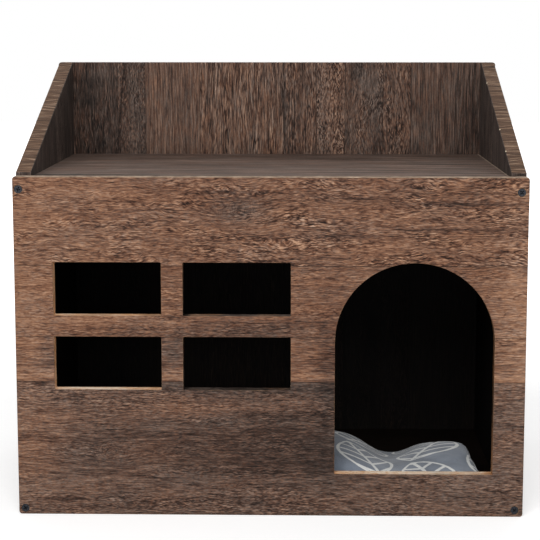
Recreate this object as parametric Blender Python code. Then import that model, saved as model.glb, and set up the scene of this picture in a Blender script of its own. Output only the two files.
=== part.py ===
"""Wooden cat house: a screwed box of edge-glued boards, with windows, a round-headed doorway, a
cushion on its floor and an open tray for a roof.

Metres, +Z up. X runs from left to right along the front, which faces -Y. The origin lies on the
ground, under the middle of the box.
"""
import math

import bmesh
import bpy
from mathutils import Matrix, Vector

# Boards
HOUSE_WIDTH = 0.500           # front and back panels, edge to edge
FRONT_HEIGHT = 0.337
BACK_HEIGHT = 0.441
SIDE_LENGTH = 0.3006          # of a side, between the front and back panels
SIDE_NIB = 0.003              # a side's front corner stands this far above the front panel
SIDE_INSET = 0.0015           # a side lies this far inside the panels' ends
FRONT_THICK = 0.013
BACK_THICK = 0.013
SIDE_THICK = 0.015
ROOF_THICK = 0.012
FLOOR_THICK = 0.012
ROOF_DROP = 0.0008            # the roof's face lies this far below the front panel's top edge
ROOF_FRONT_GAP = 0.0006       # the open joint behind the front panel's top edge
PANEL_CORNER_RADIUS = 0.003   # corners of the front and back panels, seen from the front
EDGE_EASE = 0.0006            # every board's arrises are rubbed down by this much
SEAT_GAP = 0.0003             # between pieces that touch

# Windows, two rows of two, and the doorway to the right of them
OPENINGS_TOP_MARGIN = 0.0837  # from the panel's top edge to the windows and the doorway's crown
WINDOW_LEFT_MARGIN = 0.0380   # from the panel's left edge to the first column
WINDOW_HEIGHT = 0.0528
WINDOW_CORNER_RADIUS = 0.0012
MULLION_WIDTH = 0.0213        # between the columns
WINDOW_RAIL_HEIGHT = 0.0209   # between the rows
POST_WIDTH = 0.0433           # between the windows and the doorway
DOOR_WIDTH = 0.1558
DOOR_RIGHT_MARGIN = 0.0307    # from the panel's right edge to the doorway
DOOR_SILL_Z = 0.0427
ARCH_SEGMENTS = 32

# Countersunk screws
SCREW_LENGTH = 0.032
SCREW_HEAD_RADIUS = 0.004
SCREW_HEAD_RIM = 0.0004
SCREW_SHANK_RADIUS = 0.0019
SCREW_POINT_LENGTH = 0.006
SCREW_SINK = 0.0002           # the head lies this far below the board's face
SCREW_CLEARANCE = 0.0003      # round the head and the shank
SCREW_FACETS = 20

# Where the panels' screws stand: inwards from the panel's side edge, then up from its bottom edge or
# down from its top edge. The front's are drilled by eye, and none stands quite like another.
FRONT_SCREWS = {
    "upper_left": (0.0057, 0.0125),
    "upper_right": (0.0074, 0.0147),
    "lower_left": (0.0063, 0.0060),
    "lower_right": (0.0081, 0.0067),
}
BACK_SCREW = (0.0070, 0.0135)
BACK_SCREWS = {corner: BACK_SCREW for corner in FRONT_SCREWS}
# Where the sides' screws stand, from the side's own front and rear ends
ROOF_SCREW_FROM_END = 0.050
FLOOR_SCREW_FROM_END = 0.050

# Cushion
CUSHION_SIDE_ROOM = 0.0205    # from a side's inner face to the corners of the sewn edge
CUSHION_FRONT_ROOM = 0.005    # from the front panel to the corners of the sewn edge
CUSHION_REAR_ROOM = 0.0842    # from the back panel to the corners of the sewn edge
CUSHION_SEAM_HEIGHT = 0.0155  # of the sewn edge above the floor
CUSHION_CROWN = 0.0265        # of the top above the sewn edge
CUSHION_DRAWN_IN = 0.011      # the middle of a side lies this far inside its corners
CUSHION_CORNER_SHARE = 0.030  # of a side, which the filled corners draw back
CUSHION_TREAD_FROM_JAMB = 0.0635  # from the doorway's left jamb to the middle of the trodden hollow
CUSHION_TREAD_HALF_WIDTH = 0.034
CUSHION_TREAD_FRONT_SHARE = 0.30  # of the cushion's height, trodden down at its front
CUSHION_TREAD_REAR_SHARE = 0.80   # and at its rear
CUSHION_LAIN_SHARE = 0.30     # of the cushion's height, pressed down all along its rear
CUSHION_COLUMNS = 30
CUSHION_ROWS = 18

# Places worked out from the sizes above
HOUSE_DEPTH = FRONT_THICK + SIDE_LENGTH + BACK_THICK + 2 * SEAT_GAP
FRONT_FACE_Y = -HOUSE_DEPTH / 2
FRONT_BACK_Y = FRONT_FACE_Y + FRONT_THICK
BACK_FACE_Y = HOUSE_DEPTH / 2
BACK_FRONT_Y = BACK_FACE_Y - BACK_THICK
SIDE_OUTER_X = HOUSE_WIDTH / 2 - SIDE_INSET
SIDE_INNER_X = SIDE_OUTER_X - SIDE_THICK
SIDE_FRONT_Y = FRONT_BACK_Y + SEAT_GAP
SIDE_REAR_Y = BACK_FRONT_Y - SEAT_GAP
ROOF_TOP_Z = FRONT_HEIGHT - ROOF_DROP
OPENINGS_TOP_Z = FRONT_HEIGHT - OPENINGS_TOP_MARGIN
DOOR_LEFT_X = HOUSE_WIDTH / 2 - DOOR_RIGHT_MARGIN - DOOR_WIDTH
DOOR_CENTRE_X = DOOR_LEFT_X + DOOR_WIDTH / 2
DOOR_SPRING_Z = OPENINGS_TOP_Z - DOOR_WIDTH / 2
WINDOWS_LEFT_X = -HOUSE_WIDTH / 2 + WINDOW_LEFT_MARGIN
WINDOW_WIDTH = (DOOR_LEFT_X - POST_WIDTH - MULLION_WIDTH - WINDOWS_LEFT_X) / 2
CUSHION_HALF_WIDTH = SIDE_INNER_X - CUSHION_SIDE_ROOM
CUSHION_FRONT_Y = FRONT_BACK_Y + CUSHION_FRONT_ROOM
CUSHION_REAR_Y = BACK_FRONT_Y - CUSHION_REAR_ROOM
CUSHION_TREAD_X = DOOR_LEFT_X + CUSHION_TREAD_FROM_JAMB


def clear_scene():
    for existing in list(bpy.data.objects):
        bpy.data.objects.remove(existing, do_unlink=True)


def finish_material(name, colour, roughness, metallic=0.0):
    """A plain finish, whose colour is linear red, green and blue."""
    material = bpy.data.materials.new(name)
    material.use_nodes = True
    shader = material.node_tree.nodes["Principled BSDF"]
    shader.inputs["Base Color"].default_value = (*colour, 1.0)
    shader.inputs["Roughness"].default_value = roughness
    shader.inputs["Metallic"].default_value = metallic
    return material


def closed_mesh(name, bm):
    """Ends a bmesh as a mesh whose faces point out."""
    bmesh.ops.recalc_face_normals(bm, faces=bm.faces)
    if bm.calc_volume(signed=True) < 0:
        bmesh.ops.reverse_faces(bm, faces=bm.faces)
    mesh = bpy.data.meshes.new(name)
    bm.to_mesh(mesh)
    bm.free()
    return mesh


def add_piece(name, mesh, material):
    mesh.materials.append(material)
    piece = bpy.data.objects.new(name, mesh)
    bpy.context.scene.collection.objects.link(piece)
    return piece


def add_cutter(name, meshes):
    """One guide object that holds several separate closed shapes."""
    bm = bmesh.new()
    for mesh in meshes:
        bm.from_mesh(mesh)
    joined = bpy.data.meshes.new(name)
    bm.to_mesh(joined)
    bm.free()
    cutter = bpy.data.objects.new(name, joined)
    cutter.hide_render = True
    cutter.display_type = "WIRE"
    bpy.context.scene.collection.objects.link(cutter)
    return cutter


def rectangle(low_a, low_b, high_a, high_b):
    return [(low_a, low_b), (high_a, low_b), (high_a, high_b), (low_a, high_b)]


def rounded_rectangle(low_a, low_b, high_a, high_b, radius, steps=5):
    """Four quarter arcs, from the lower left one round to the upper left one."""
    arc_centres = rectangle(low_a + radius, low_b + radius, high_a - radius, high_b - radius)
    points = []
    for quarter, (a, b) in zip((2, 3, 0, 1), arc_centres):
        for step in range(steps + 1):
            angle = math.pi / 2 * (quarter + step / steps)
            points.append((a + radius * math.cos(angle), b + radius * math.sin(angle)))
    return points


def prism_mesh(name, outline, axis, start, end):
    """Extrudes an outline along an axis. The outline's pairs lie along the two other axes."""
    along = "XYZ".index(axis)
    travel = Vector((0.0, 0.0, 0.0))
    travel[along] = end - start
    bm = bmesh.new()
    corners = []
    for pair in outline:
        corner = list(pair)
        corner.insert(along, start)
        corners.append(bm.verts.new(corner))
    extruded = bmesh.ops.extrude_face_region(bm, geom=[bm.faces.new(corners)])["geom"]
    moved = [item for item in extruded if isinstance(item, bmesh.types.BMVert)]
    bmesh.ops.translate(bm, verts=moved, vec=travel)
    return closed_mesh(name, bm)


def cut(board, cutter, label):
    boolean = board.modifiers.new(label, "BOOLEAN")
    boolean.operation = "DIFFERENCE"
    boolean.solver = "EXACT"
    boolean.object = cutter


def ease_edges(board):
    """Rubs down the arrises. The facets of an arch meet at a small angle and are left alone."""
    bevel = board.modifiers.new("eased arrises", "BEVEL")
    bevel.width = EDGE_EASE
    bevel.segments = 2
    bevel.limit_method = "ANGLE"
    bevel.angle_limit = math.radians(40)


def window_outlines():
    """The four window outlines, the top row first."""
    outlines = []
    for row in range(2):
        high_z = OPENINGS_TOP_Z - row * (WINDOW_HEIGHT + WINDOW_RAIL_HEIGHT)
        for column in range(2):
            low_x = WINDOWS_LEFT_X + column * (WINDOW_WIDTH + MULLION_WIDTH)
            outlines.append(rounded_rectangle(
                low_x, high_z - WINDOW_HEIGHT, low_x + WINDOW_WIDTH, high_z, WINDOW_CORNER_RADIUS))
    return outlines


def doorway_outline():
    """A flat sill, two upright jambs and a half-round head."""
    outline = [(DOOR_LEFT_X, DOOR_SILL_Z), (DOOR_LEFT_X + DOOR_WIDTH, DOOR_SILL_Z)]
    for step in range(ARCH_SEGMENTS + 1):
        angle = math.pi * step / ARCH_SEGMENTS
        outline.append((
            DOOR_CENTRE_X + DOOR_WIDTH / 2 * math.cos(angle),
            DOOR_SPRING_Z + DOOR_WIDTH / 2 * math.sin(angle),
        ))
    return outline


def screw_profile(clearance, above_head):
    """Radius and height down the outer side of a screw, from its head to its point."""
    head = SCREW_HEAD_RADIUS + clearance
    shank = SCREW_SHANK_RADIUS + clearance
    cone_end = -SCREW_HEAD_RIM - (SCREW_HEAD_RADIUS - SCREW_SHANK_RADIUS)
    return [
        (0.0, above_head),
        (head, above_head),
        (head, -SCREW_HEAD_RIM),
        (shank, cone_end),
        (shank, -SCREW_LENGTH + SCREW_POINT_LENGTH),
        (0.0, -SCREW_LENGTH - clearance),
    ]


def turned_mesh(name, profile, place):
    """Spins a profile round its own Z axis and puts it in place."""
    bm = bmesh.new()
    points = [bm.verts.new((radius, 0.0, height)) for radius, height in profile]
    edges = [bm.edges.new(pair) for pair in zip(points, points[1:])]
    bmesh.ops.spin(
        bm, geom=points + edges, cent=(0, 0, 0), axis=(0, 0, 1),
        angle=2 * math.pi, steps=SCREW_FACETS, use_merge=True)
    bmesh.ops.remove_doubles(bm, verts=bm.verts, dist=1e-6)
    bmesh.ops.transform(bm, matrix=place, verts=bm.verts)
    return closed_mesh(name, bm)


def driven_from(face_point, inward):
    """The place of a screw whose head lies at a face and whose point goes inward."""
    inward = Vector(inward)
    head = Vector(face_point) + inward * SCREW_SINK
    turn = Vector((0, 0, -1)).rotation_difference(inward).to_matrix().to_4x4()
    return Matrix.Translation(head) @ turn


def panel_screws(label, face_y, inward_y, height, corners):
    """The four corner screws of the front or the back panel."""
    places = {}
    for corner, (inset, from_edge) in corners.items():
        x = HOUSE_WIDTH / 2 - inset
        z = height - from_edge if "upper" in corner else from_edge
        point = (-x if "left" in corner else x, face_y, z)
        places[f"{label}_screw_{corner}"] = driven_from(point, (0, inward_y, 0))
    return places


def side_screws(hand):
    """The screws through one side, into the ends of the roof and of the floor."""
    sign = -1 if hand == "left" else 1
    places = {}
    rows = (
        ("roof", ROOF_TOP_Z - ROOF_THICK / 2, ROOF_SCREW_FROM_END),
        ("floor", FLOOR_THICK / 2, FLOOR_SCREW_FROM_END),
    )
    for row, z, from_end in rows:
        for end, y in (("front", SIDE_FRONT_Y + from_end), ("rear", SIDE_REAR_Y - from_end)):
            point = (sign * SIDE_OUTER_X, y, z)
            places[f"{hand}_{row}_screw_{end}"] = driven_from(point, (-sign, 0, 0))
    return places


def add_screws(places, material):
    """One object for each screw, all sharing one turned mesh."""
    mesh = turned_mesh("screw", screw_profile(0.0, 0.0), Matrix.Identity(4))
    mesh.materials.append(material)
    mesh.shade_smooth()
    mesh.set_sharp_from_angle(angle=math.radians(30))
    for name, place in places.items():
        screw = bpy.data.objects.new(name, mesh)
        screw.matrix_world = place
        bpy.context.scene.collection.objects.link(screw)


def cut_screw_holes(board, places):
    """Countersunk holes, each a clearance wider than its screw and open at the board's face."""
    profile = screw_profile(SCREW_CLEARANCE, SCREW_SINK + SCREW_HEAD_RIM)
    holes = [turned_mesh("hole", profile, place) for place in places]
    cut(board, add_cutter(f"{board.name}_screw_holes", holes), "screw holes")


def add_panel(name, front_y, rear_y, height, material):
    """The front or the back panel, with its corners rounded."""
    outline = rounded_rectangle(-HOUSE_WIDTH / 2, 0.0, HOUSE_WIDTH / 2, height, PANEL_CORNER_RADIUS)
    return add_piece(name, prism_mesh(name, outline, "Y", front_y, rear_y), material)


def add_front_panel(material, screws):
    board = add_panel("front_panel", FRONT_FACE_Y, FRONT_BACK_Y, FRONT_HEIGHT, material)
    past_faces = (FRONT_FACE_Y - FRONT_THICK, FRONT_BACK_Y + FRONT_THICK)
    outlines = window_outlines() + [doorway_outline()]
    openings = [prism_mesh("opening", outline, "Y", *past_faces) for outline in outlines]
    cut(board, add_cutter("front_panel_openings", openings), "openings")
    ease_edges(board)
    cut_screw_holes(board, screws.values())


def add_back_panel(material, screws):
    board = add_panel("back_panel", BACK_FRONT_Y, BACK_FACE_Y, BACK_HEIGHT, material)
    ease_edges(board)
    cut_screw_holes(board, screws.values())


def add_side(hand, material, screws):
    """A side's top edge rises straight from just above the front panel to the back panel's top."""
    outline = [
        (SIDE_FRONT_Y, 0.0),
        (SIDE_REAR_Y, 0.0),
        (SIDE_REAR_Y, BACK_HEIGHT),
        (SIDE_FRONT_Y, FRONT_HEIGHT + SIDE_NIB),
    ]
    sign = -1 if hand == "left" else 1
    mesh = prism_mesh(f"{hand}_side", outline, "X", sign * SIDE_INNER_X, sign * SIDE_OUTER_X)
    board = add_piece(f"{hand}_side", mesh, material)
    ease_edges(board)
    cut_screw_holes(board, [place for name, place in screws.items() if hand in name])


def add_level_board(name, front_y, low_z, high_z, material, screws):
    """The roof or the floor, which fills the space between the sides."""
    half_width = SIDE_INNER_X - SEAT_GAP
    outline = rectangle(-half_width, front_y, half_width, BACK_FRONT_Y - SEAT_GAP)
    board = add_piece(name, prism_mesh(name, outline, "Z", low_z, high_z), material)
    ease_edges(board)
    row = name.split("_")[0]
    cut_screw_holes(board, [place for label, place in screws.items() if row in label])


def cushion_plan(u, v):
    """Where a point of the cover lies seen from above, for u and v from -1 to 1 across and along it."""
    half_depth = (CUSHION_REAR_Y - CUSHION_FRONT_Y) / 2
    x = CUSHION_HALF_WIDTH * u * (1 - CUSHION_CORNER_SHARE * v ** 8)
    y = half_depth * v * (1 - CUSHION_CORNER_SHARE * u ** 8)
    x -= CUSHION_DRAWN_IN * (1 - v ** 2) ** 2 * u ** 5
    y -= CUSHION_DRAWN_IN * (1 - u ** 2) ** 2 * v ** 5
    return x, y + (CUSHION_FRONT_Y + CUSHION_REAR_Y) / 2


def height_left(x, y):
    """The share of the cushion's height that the cat's weight has left. It has lain on the rear, and
    has trodden a hollow that runs from the doorway to the rear and grows deeper on the way."""
    back = (y - CUSHION_FRONT_Y) / (CUSHION_REAR_Y - CUSHION_FRONT_Y)
    back = back * back * (3 - 2 * back)
    trodden = CUSHION_TREAD_FRONT_SHARE + (CUSHION_TREAD_REAR_SHARE - CUSHION_TREAD_FRONT_SHARE) * back
    trodden *= math.exp(-((x - CUSHION_TREAD_X) / CUSHION_TREAD_HALF_WIDTH) ** 2)
    return (1 - trodden) * (1 - CUSHION_LAIN_SHARE * back ** 2)


def cushion_point(u, v, top):
    """A point of the cushion's crowned top, or of its underside, which lies flat on the floor."""
    x, y = cushion_plan(u, v)
    crown = CUSHION_CROWN * math.sqrt((1 - u ** 6) * (1 - v ** 2))
    if top:
        return x, y, FLOOR_THICK + (CUSHION_SEAM_HEIGHT + crown) * height_left(x, y)
    return x, y, FLOOR_THICK + max(SEAT_GAP, (CUSHION_SEAM_HEIGHT - crown) * height_left(x, y))


def add_cushion(material):
    """Two crowned panels that share one sewn edge. The rows close up towards that edge."""
    across = [-math.cos(math.pi * i / CUSHION_COLUMNS) for i in range(CUSHION_COLUMNS + 1)]
    along = [-math.cos(math.pi * j / CUSHION_ROWS) for j in range(CUSHION_ROWS + 1)]
    bm = bmesh.new()
    for top in (True, False):
        grid = [[bm.verts.new(cushion_point(u, v, top)) for u in across] for v in along]
        for near, far in zip(grid, grid[1:]):
            for corners in zip(near, near[1:], far[1:], far):
                bm.faces.new(corners)
    bmesh.ops.remove_doubles(bm, verts=bm.verts, dist=1e-6)
    mesh = closed_mesh("cushion", bm)
    mesh.shade_smooth()
    add_piece("cushion", mesh, material)


def build_house():
    clear_scene()
    facing_wood = finish_material("brushed charred board", (0.158, 0.088, 0.060), 0.62)
    dark_wood = finish_material("charred board", (0.090, 0.056, 0.042), 0.66)
    roof_wood = finish_material("charred roof board", (0.120, 0.092, 0.074), 0.62)
    steel = finish_material("black oxide steel", (0.060, 0.061, 0.066), 0.45, 0.8)
    cloth = finish_material("cushion cotton", (0.300, 0.345, 0.400), 0.9)

    front = panel_screws("front", FRONT_FACE_Y, 1, FRONT_HEIGHT, FRONT_SCREWS)
    back = panel_screws("back", BACK_FACE_Y, -1, BACK_HEIGHT, BACK_SCREWS)
    left = side_screws("left")
    right = side_screws("right")
    sides = {**left, **right}

    add_front_panel(facing_wood, front)
    add_back_panel(dark_wood, back)
    add_side("left", dark_wood, {**front, **back, **left})
    add_side("right", dark_wood, {**front, **back, **right})
    roof_front_y = FRONT_BACK_Y + ROOF_FRONT_GAP
    add_level_board("roof_shelf", roof_front_y, ROOF_TOP_Z - ROOF_THICK, ROOF_TOP_Z, roof_wood, sides)
    add_level_board("floor_panel", SIDE_FRONT_Y, 0.0, FLOOR_THICK, dark_wood, sides)
    add_cushion(cloth)
    add_screws({**front, **back, **sides}, steel)


build_house()
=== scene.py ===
"""The wooden cat house, dressed piece by piece in the order in which it is put together.

Metres, +Z up: the front faces -Y and the house stands on Z 0. Wood figure and print are laid out in
millimetres.
"""
import math
from collections import namedtuple
from functools import partial

import bmesh
import bpy
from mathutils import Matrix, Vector, noise


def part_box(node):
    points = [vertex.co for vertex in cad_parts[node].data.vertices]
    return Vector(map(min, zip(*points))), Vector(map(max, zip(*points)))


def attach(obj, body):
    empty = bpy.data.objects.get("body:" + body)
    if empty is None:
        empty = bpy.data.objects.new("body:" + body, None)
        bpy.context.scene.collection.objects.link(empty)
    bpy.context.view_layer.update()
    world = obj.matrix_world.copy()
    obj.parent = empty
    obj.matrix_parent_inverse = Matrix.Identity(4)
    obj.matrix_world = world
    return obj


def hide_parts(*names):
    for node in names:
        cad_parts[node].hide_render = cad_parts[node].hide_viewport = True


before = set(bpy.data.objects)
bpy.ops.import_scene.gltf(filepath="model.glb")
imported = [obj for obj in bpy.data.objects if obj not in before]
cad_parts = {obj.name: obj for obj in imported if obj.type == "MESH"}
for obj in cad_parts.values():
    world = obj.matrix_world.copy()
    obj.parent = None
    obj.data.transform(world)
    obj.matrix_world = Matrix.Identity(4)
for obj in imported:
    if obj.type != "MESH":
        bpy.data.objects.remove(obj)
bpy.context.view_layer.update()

# The two sides. Each is a board of paulownia staves, glued edge to edge with the grain upright, then
# scorched with a flame and wire-brushed, which leaves the hard grain brown and the soft grain
# sooty. The top edge is sawn on a slant across the staves, so it shows the short lines of end grain.
MM = 1000.0
# Tones of the wood from its darkest lines to its lightest, brushed brown or smoked grey.
BROWN_STOPS = (
    (0.04, "#22150f"), (0.28, "#492f23"), (0.50, "#724f3c"), (0.70, "#956f56"), (0.94, "#bb9579"))
SMOKED_STOPS = (
    (0.04, "#1b1614"), (0.28, "#392f2a"), (0.50, "#5b4e47"), (0.70, "#796960"), (0.94, "#9b897d"))
END_GRAIN_STOPS = ((0.10, "#30231a"), (0.50, "#594233"), (0.80, "#806652"), (0.95, "#c6ab92"))
GLUE_LINE = "#1c1512"
GLUE_LINE_FADE = (0.25, 0.7)  # millimetres to either side of the joint
WORN_ARRIS = "#a5835f"
WEAR_REACH = 0.0012           # metres from the arris
BRUSH_DEPTH = 0.0007          # metres, from the hard grain down to the soft
YEAR_WIDTH = 15.0             # millimetres of wood grown in a year, cut on the slant
YEAR_SHAPE = 0.085            # how wide the year's oval is for its length
OVAL_SPACING = 2.6            # millimetres from line to line round a knot
SAWN_LINE = (1.5, 45.0, 400.0)  # millimetres: a line of end grain's width and length
# The room inside, up to the faces of its walls.
CABIN_SPANS = (("X", -234.5, 234.5), ("Y", -151.5, 151.5), ("Z", 0.0, 326.0))
INSIDE_SHADE_SHARE = 0.04           # of the outside's colour: painted shade that darkens the whole inside nearly to black
INNER_FACE_CHAR_AND_SHADE = 0.52       # above the roof the inner faces of the sides are charred darker and darkened further as painted shade
INNER_FACES_X = 234.2
LUMP_SIZE = (1.0, 16.0, 60.0)  # millimetres into the board, across and up
FRONT_ENDS_Y = (-160.0, -149.9)
CHIPPED_WOOD = "#e2cfb2"
CHIP_FADE = (0.9, 1.5)        # millimetres from the middle of a chip
ARRIS_CHIPS = ((233.7, 87, 419.6), (233.7, -43, 376.0), (233.7, -98, 357.5))
SIDE_STAVES = (
    # A stave: its far edge across, the heart of its figure along and across, lightness, smoke,
    # ripple, contrast, the length of its flecks and the sway of its fibres.
    (-80, 380, -140, -0.08, 0.6, 0.3, 0.9, 28, 0.8),
    (10, 120, -30, -0.12, 0.6, 0.1, 0.8, 44, 0.3),
    (80, 300, 60, -0.06, 0.5, 0.9, 1.0, 16, 0.9),
    (151, 10, 100, -0.10, 0.65, 0.2, 1.1, 34, 0.5),
)


def linear(code):
    """An sRGB colour code as the linear colour that a shader takes."""
    channels = [int(code[start:start + 2], 16) / 255 for start in (1, 3, 5)]
    return (*(c / 12.92 if c <= 0.04045 else ((c + 0.055) / 1.055) ** 2.4 for c in channels), 1.0)


def node(tree, kind, inputs=(), **settings):
    """Adds a node with its settings and links, and gives its first output in use. A kind without
    Node in its name is a shader's, such as Math. Inputs are given by name, or in order for those in
    use. A ramp's stops are pairs of a place and a colour code."""
    made = tree.nodes.new(kind if "Node" in kind else "ShaderNode" + kind)
    for name, value in settings.items():
        if name == "stops":
            elements = made.color_ramp.elements
            while len(elements) < len(value):
                elements.new(1.0)
            for element, (place, code) in zip(elements, value):
                element.position = place
                element.color = linear(code)
        else:
            setattr(made, name, value)
    used = [socket for socket in made.inputs if socket.enabled]
    for key, value in inputs.items() if isinstance(inputs, dict) else enumerate(inputs):
        socket = made.inputs[key] if isinstance(key, str) else used[key]
        if isinstance(value, bpy.types.NodeSocket):
            tree.links.new(value, socket)
        elif value is not None:
            socket.default_value = value
    return next((socket for socket in made.outputs if socket.enabled), None)


def start_finish(name, roughness, specular=0.5, metallic=0.0):
    """A new material with its shader, whose constants stand on the shader's own sockets."""
    finish = bpy.data.materials.new(name)
    finish.use_nodes = True
    shader = finish.node_tree.nodes["Principled BSDF"]
    shader.inputs["Roughness"].default_value = roughness
    shader.inputs["Specular IOR Level"].default_value = specular
    shader.inputs["Metallic"].default_value = metallic
    return finish, finish.node_tree, shader


def make_grain_group():
    """The grain of one stave: its tone, from soot to bare hard grain, and how smoky it is. Place runs
    along the grain, across it and into the board, in millimetres from the heart of the stave's
    figure, round which the growth rings close."""
    tree = bpy.data.node_groups.new("brushed charred grain", "ShaderNodeTree")
    tree.interface.new_socket("Place", in_out="INPUT", socket_type="NodeSocketVector")
    for label in ("Ripple", "Contrast", "Fleck Length", "Sway"):
        tree.interface.new_socket(label, in_out="INPUT", socket_type="NodeSocketFloat")
    for label in ("Tone", "Smoke"):
        tree.interface.new_socket(label, in_out="OUTPUT", socket_type="NodeSocketFloat")
    given = tree.nodes.new("NodeGroupInput").outputs
    add = partial(node, tree)

    def wander(vector, along, across, detail):
        """Noise whose blotches are as long and as wide as given, in millimetres, centred on zero."""
        size = add("CombineXYZ", (along, across, across))
        scaled = add("VectorMath", (vector, size), operation="DIVIDE")
        value = add("TexNoise", {"Vector": scaled, "Scale": 1.0, "Detail": detail})
        return add("Math", (value, 0.5), operation="SUBTRACT")

    # The fibres wander slowly and swing a little. In patches they interlock, two sets that ripple
    # against each other.
    place = given["Place"]
    patch = wander(place, 55, 17, 2)
    rippled = add("MapRange", (patch, -0.04, 0.10), interpolation_type="SMOOTHSTEP")
    rippled = add("Math", (rippled, given["Ripple"]), operation="MULTIPLY")
    ripple = add("Math", (wander(place, 6, 9, 0), rippled), operation="MULTIPLY")
    shift = add("Math", (wander(place, 150, 40, 1), 14.0), operation="MULTIPLY")
    shift = add("Math", (wander(place, 32, 11, 1), 7.0, shift), operation="MULTIPLY_ADD")
    shift = add("Math", (shift, given["Sway"]), operation="MULTIPLY")
    fibres = []
    for sway in (3.4, -3.4):
        sideways = add("Math", (ripple, sway, shift), operation="MULTIPLY_ADD")
        sideways = add("CombineXYZ", (50.0 * sway, sideways, 0.0))
        fibres.append(add("VectorMath", (place, sideways), operation="ADD"))
    fibre = fibres[0]

    # Growth rings, long ovals round the heart, with a thin dark line at the end of each year.
    oval = add("VectorMath", (place, add("CombineXYZ", (0.0, shift))), operation="ADD")
    oval = add("VectorMath", (oval, (YEAR_SHAPE, 1.0, 1.0)), operation="MULTIPLY")
    year = add("VectorMath", (oval,), operation="LENGTH")
    year = add("Math", (wander(fibre, 90, 10, 1), 9, year), operation="MULTIPLY_ADD")
    year = add("Math", (year, YEAR_WIDTH), operation="DIVIDE")
    year = add("Math", (year,), operation="FRACT")
    late = add("Math", (year, 8.0), operation="POWER")
    late = add("Math", (late, given["Sway"]), operation="MULTIPLY")
    season = add("Math", (year, 2.0), operation="MULTIPLY")
    season = add("Math", (season, 1.0), operation="PINGPONG")

    # The brush leaves thin sooty lines between the fibres, crossed dashes where they interlock, and
    # hair-thin streaks all over.
    def drawn_out(vector, share, across, detail):
        """Noise as wander makes it, but as long as the given share of the flecks."""
        along = add("Math", (given["Fleck Length"], share), operation="MULTIPLY")
        return wander(vector, along, across, detail)

    strength = add("MapRange", (patch, -0.15, 0.12, 0.7, 1.0))
    strength = add("Math", (strength, given["Contrast"]), operation="MULTIPLY")
    season = add("MapRange", (season, 0.0, 1.0, 0.65, 1.3))
    strength = add("Math", (strength, season), operation="MULTIPLY")
    flecks = add("Math", (drawn_out(fibre, 1.0, 3.2, 1),), operation="ABSOLUTE")
    flecks = add("MapRange", (flecks, 0.0, 0.055, -0.75, 0.25))
    crossed = add("Math", (
        drawn_out(fibres[0], 0.30, 1.1, 2), drawn_out(fibres[1], 0.36, 1.0, 2)), operation="ADD")
    dashes = add("MapRange", (crossed, -0.22, 0.22, -0.6, 0.4))
    local = add("Math", (rippled, 0.45, 0.55), operation="MULTIPLY_ADD")
    dashes = add("Math", (dashes, local), operation="MULTIPLY")
    lines = add("Math", (wander(fibre, 130, 10, 2),), operation="ABSOLUTE")
    lines = add("MapRange", (lines, 0.0, 0.02, 1.0, 0.0), interpolation_type="SMOOTHSTEP")

    # Each pattern moves the tone by its own share.
    figure = 0.0
    for value, share in ((flecks, 0.19), (dashes, 0.48), (drawn_out(fibre, 2.6, 3.0, 1), 0.24)):
        figure = add("Math", (value, share, figure), operation="MULTIPLY_ADD")
    tone = add("Math", (wander(fibre, 240, 9, 2), 0.16, 0.57), operation="MULTIPLY_ADD")
    for value, share in (
            (figure, strength), (drawn_out(fibre, 0.8, 0.8, 2), 0.85),
            (wander(fibre, 2.4, 1.0, 1), 0.22), (lines, -0.12), (late, -0.24)):
        tone = add("Math", (value, share, tone), operation="MULTIPLY_ADD")
    smoke = add("MapRange", (wander(place, 60, 20, 3), -0.2, 0.2, -0.17, 0.17))
    smoke = add("Math", (drawn_out(fibre, 0.3, 1.5, 2), 1.6, smoke), operation="MULTIPLY_ADD")
    add("NodeGroupOutput", {"Tone": tone, "Smoke": smoke})
    return tree


grain_group = make_grain_group()


def near(add, along, across, spot):
    """How close a point is to a spot, from 1 at its middle to 0 outside, as a bell. A spot is its
    middle along and across, then its reach along and across, in millimetres."""
    middle_along, middle_across, reach_along, reach_across = spot
    away = add("CombineXYZ", (
        add("MapRange", (along, middle_along, middle_along + reach_along), clamp=False),
        add("MapRange", (across, middle_across, middle_across + reach_across), clamp=False)))
    away = add("VectorMath", (away, away), operation="DOT_PRODUCT")
    away = add("Math", (away, -1.0), operation="MULTIPLY")
    return add("Math", (away,), operation="EXPONENT")


def within(add, xyz, spans):
    """One inside all the spans, each an axis with its low and high ends, and zero outside."""
    inside = 1.0
    for axis, low, high in spans:
        value = xyz["XYZ".index(axis)]
        for operation, end in (("GREATER_THAN", low), ("LESS_THAN", high)):
            passed = add("Math", (value, end), operation=operation)
            inside = add("Math", (inside, passed), operation="MULTIPLY")
    return inside


Board = namedtuple("Board", "finish shader add point xyz colour tone")


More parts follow.
